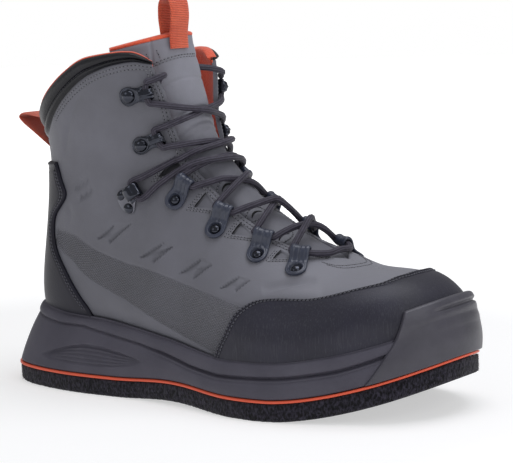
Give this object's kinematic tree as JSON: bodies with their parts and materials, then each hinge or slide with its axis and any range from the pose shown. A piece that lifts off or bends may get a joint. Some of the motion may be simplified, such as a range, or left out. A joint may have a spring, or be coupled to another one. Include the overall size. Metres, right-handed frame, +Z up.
{
  "type": "wading boot",
  "caption": "Right lace-up wading boot with felt outsole, cupped rubber midsole, padded collar and tongue, pull loops and speed hooks.",
  "frame": {"origin": "in the middle of the heel's flat face, on the floor, 70 mm in from the heel end", "axes": "+X from heel to toe, +Y to the inner (medial) side, +Z up"},
  "size_m": [0.3136, 0.1192, 0.2309],
  "materials": {
    "felt": "fibrous matte",
    "orange_rubber": "matte",
    "midsole_rubber": "satin",
    "grey_leather": "matte",
    "dark_leather": "matte",
    "orange_webbing": "woven",
    "gunmetal": "satin",
    "moulded_loop": "satin",
    "lace": "braided"
  },
  "bodies": {
    "root": {"collar": "dark_leather", "felt_outsole": "felt", "heel_counter": "dark_leather", "heel_loop": "orange_webbing", "insole": "dark_leather", "lace_bar": "lace", "lace_crossing_1": "lace", "lace_crossing_2": "lace", "lace_crossing_3": "lace", "lace_crossing_4": "lace", "lace_crossing_5": "lace", "lace_crossing_6": "lace", "lace_end_inner": "lace", "lace_end_outer": "lace", "lace_loop_inner_1": "moulded_loop", "lace_loop_inner_2": "moulded_loop", "lace_loop_inner_3": "moulded_loop", "lace_loop_inner_4": "moulded_loop", "lace_loop_outer_1": "moulded_loop", "lace_loop_outer_2": "moulded_loop", "lace_loop_outer_3": "moulded_loop", "lace_loop_outer_4": "moulded_loop", "lock_hook_inner": "gunmetal", "lock_hook_outer": "gunmetal", "midsole": "midsole_rubber", "sole_line": "orange_rubber", "speed_hook_inner_1": "gunmetal", "speed_hook_inner_2": "gunmetal", "speed_hook_outer_1": "gunmetal", "speed_hook_outer_2": "gunmetal", "toe_bumper": "midsole_rubber", "toe_overlay": "dark_leather", "tongue": "grey_leather", "tongue_loop": "orange_webbing", "upper": "grey_leather"}
  },
  "joints": []
}
